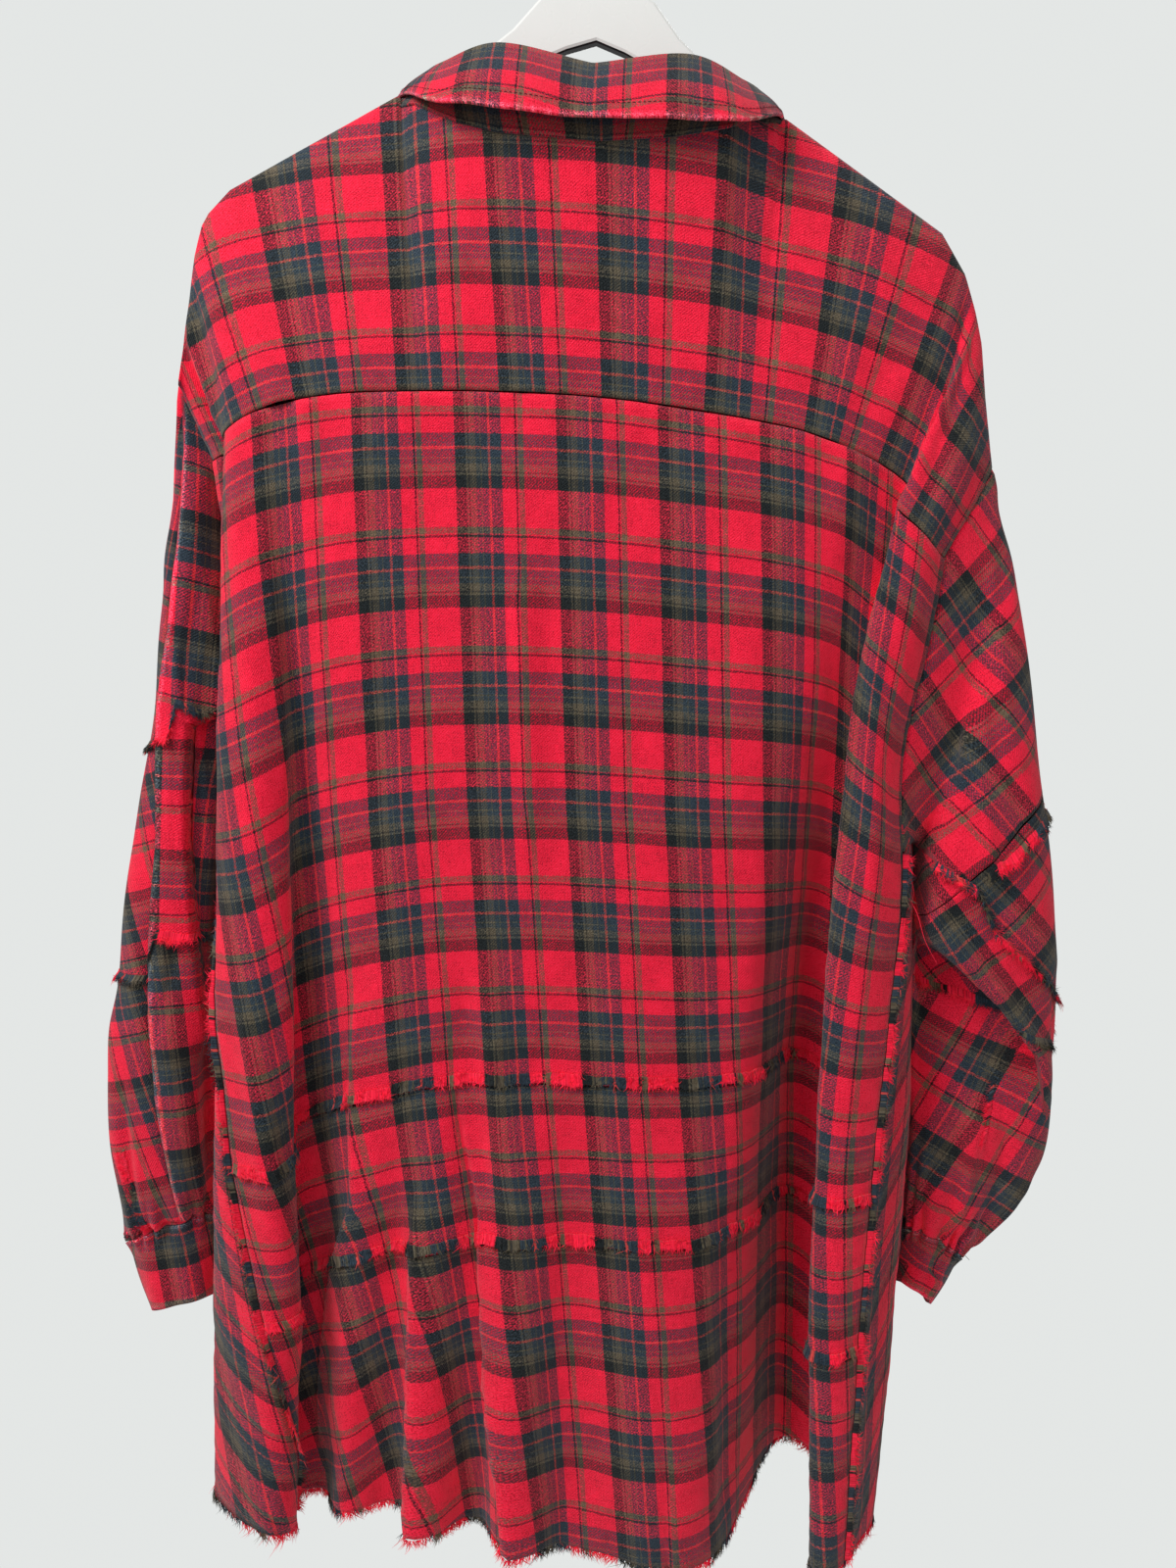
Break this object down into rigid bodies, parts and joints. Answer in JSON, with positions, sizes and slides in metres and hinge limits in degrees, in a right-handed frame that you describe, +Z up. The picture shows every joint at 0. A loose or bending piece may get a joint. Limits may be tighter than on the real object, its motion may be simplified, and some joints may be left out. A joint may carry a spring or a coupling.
{
  "type": "tunic shirt on a clothes hanger",
  "caption": "Oversized long-sleeved checked flannel tunic shirt with collar, back yoke, raw-edged tiers and fringed hem, hung on a flat hanger.",
  "frame": {"origin": "where the hanger's hook bears on its rail", "axes": "+Z up, +Y out of the shirt's front, -Y out of its back, the wearer's left sleeve at -X and right sleeve at +X"},
  "size_m": [0.6645, 0.14, 1.0727],
  "materials": {
    "flannel": "brushed checked cotton flannel in red, navy, olive and black",
    "hanger_plastic": "smooth white plastic",
    "hook_metal": "plain bright wire",
    "button_plastic": "dark shirt buttons"
  },
  "bodies": {
    "root": {"hanger_body": "hanger_plastic", "hanger_hook": "hook_metal", "yoke": "flannel", "back_upper": "flannel", "back_tier_middle": "flannel", "back_tier_hem": "flannel", "front_left": "flannel", "front_right": "flannel", "placket": "flannel", "collar_stand": "flannel", "collar_fall": "flannel", "sleeve_left_upper": "flannel", "sleeve_left_middle": "flannel", "sleeve_left_lower": "flannel", "sleeve_right_upper": "flannel", "sleeve_right_middle": "flannel", "sleeve_right_lower": "flannel", "cuff_left": "flannel", "cuff_right": "flannel", "button_1": "button_plastic", "button_2": "button_plastic", "button_3": "button_plastic", "button_4": "button_plastic", "button_5": "button_plastic", "button_6": "button_plastic", "button_7": "button_plastic", "cuff_button_left": "button_plastic", "cuff_button_right": "button_plastic"}
  },
  "joints": []
}
